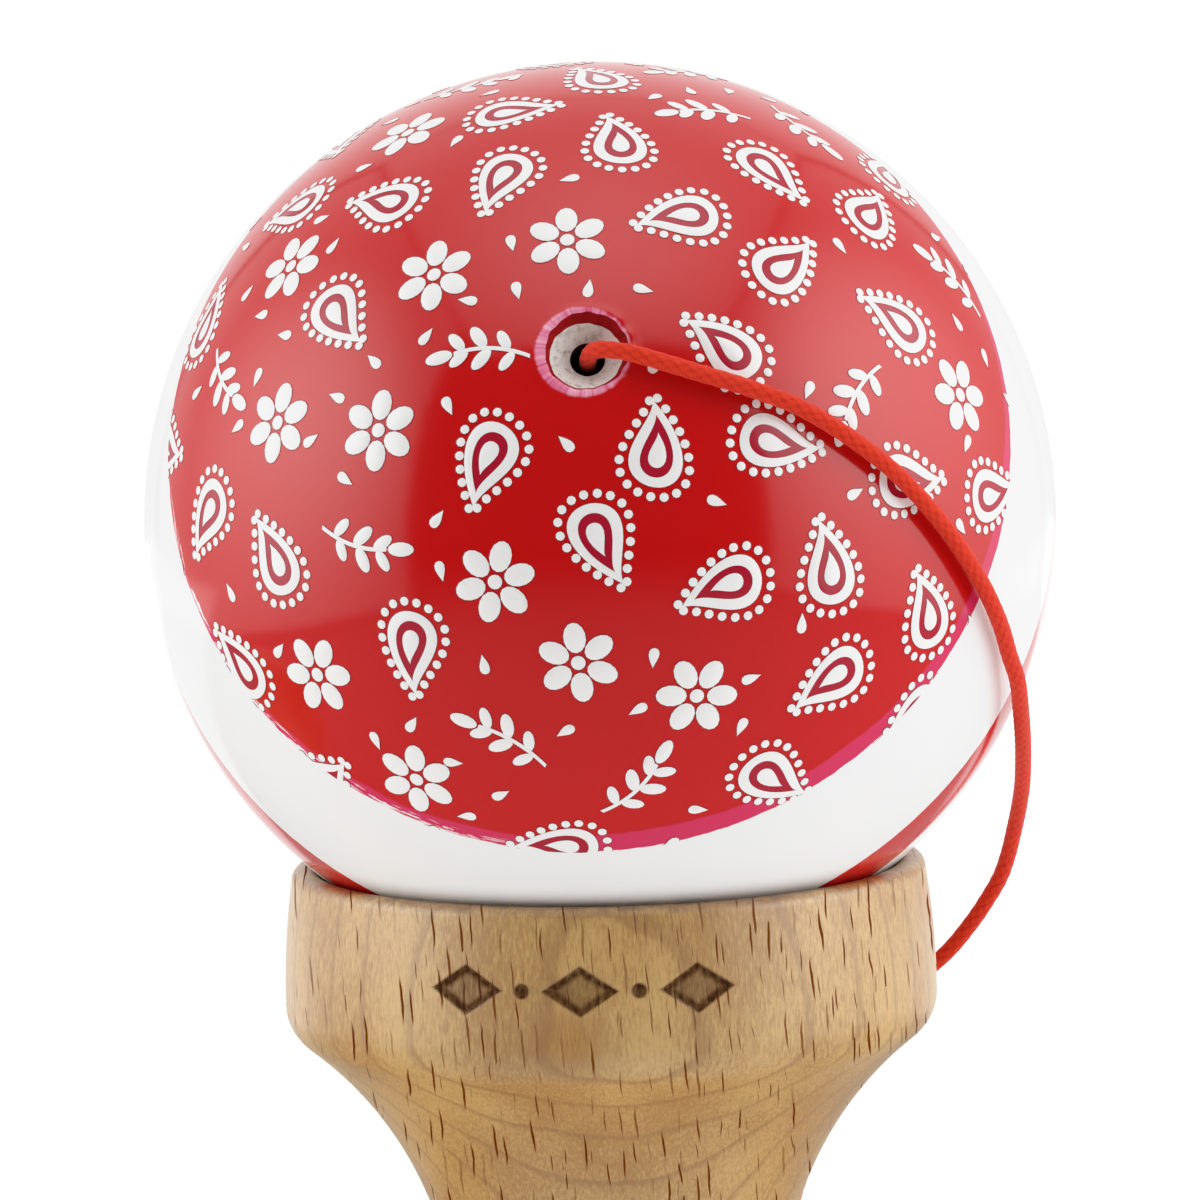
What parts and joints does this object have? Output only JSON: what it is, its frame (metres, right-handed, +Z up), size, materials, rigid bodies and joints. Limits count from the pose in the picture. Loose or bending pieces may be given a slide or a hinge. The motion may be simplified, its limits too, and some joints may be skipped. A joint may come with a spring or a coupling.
{
  "type": "cup and ball toy",
  "caption": "Wooden cup and ball toy: a turned handle with a spike and base cup through a two-cup cross piece, and a drilled, painted ball on a cord that rests in the big cup.",
  "frame": {"origin": "on the table, at the centre of the small cup's rim, under the middle of the cross piece", "axes": "+Z up along the cross piece towards the big cup and the ball; +X along the handle towards the spike; +Y towards the back, where the cord enters the cross piece"},
  "size_m": [0.165, 0.06, 0.1218],
  "materials": {
    "beech": "bare sanded beech",
    "ball_paint": "gloss painted wood, red and white",
    "bead_wood": "plain wooden bead",
    "cord": "braided cord"
  },
  "bodies": {
    "cross_piece": {"cross_cup": "beech", "cup_knot": "cord", "cord_free": "cord", "cord_winding": "cord"},
    "handle": {"handle": "beech"},
    "bead": {"bead": "bead_wood", "bead_knot": "cord", "cord_in_ball": "cord"},
    "ball": {"ball": "ball_paint"}
  },
  "joints": [
    {"name": "handle_pull", "type": "slide", "parent": "cross_piece", "child": "handle", "axis": [-1, 0, 0], "range_m": [0, 0.072]},
    {"name": "ball_lift", "type": "slide", "parent": "cross_piece", "child": "bead", "axis": [0, 0, 1], "range_m": [0, 0.03], "deforming": ["cord_free"]},
    {"name": "ball_swivel", "type": "hinge", "parent": "bead", "child": "ball", "pos_m": [0, 0, 0.0918], "axis": [-0.0188, -0.8986, 0.4384], "continuous": true}
  ]
}
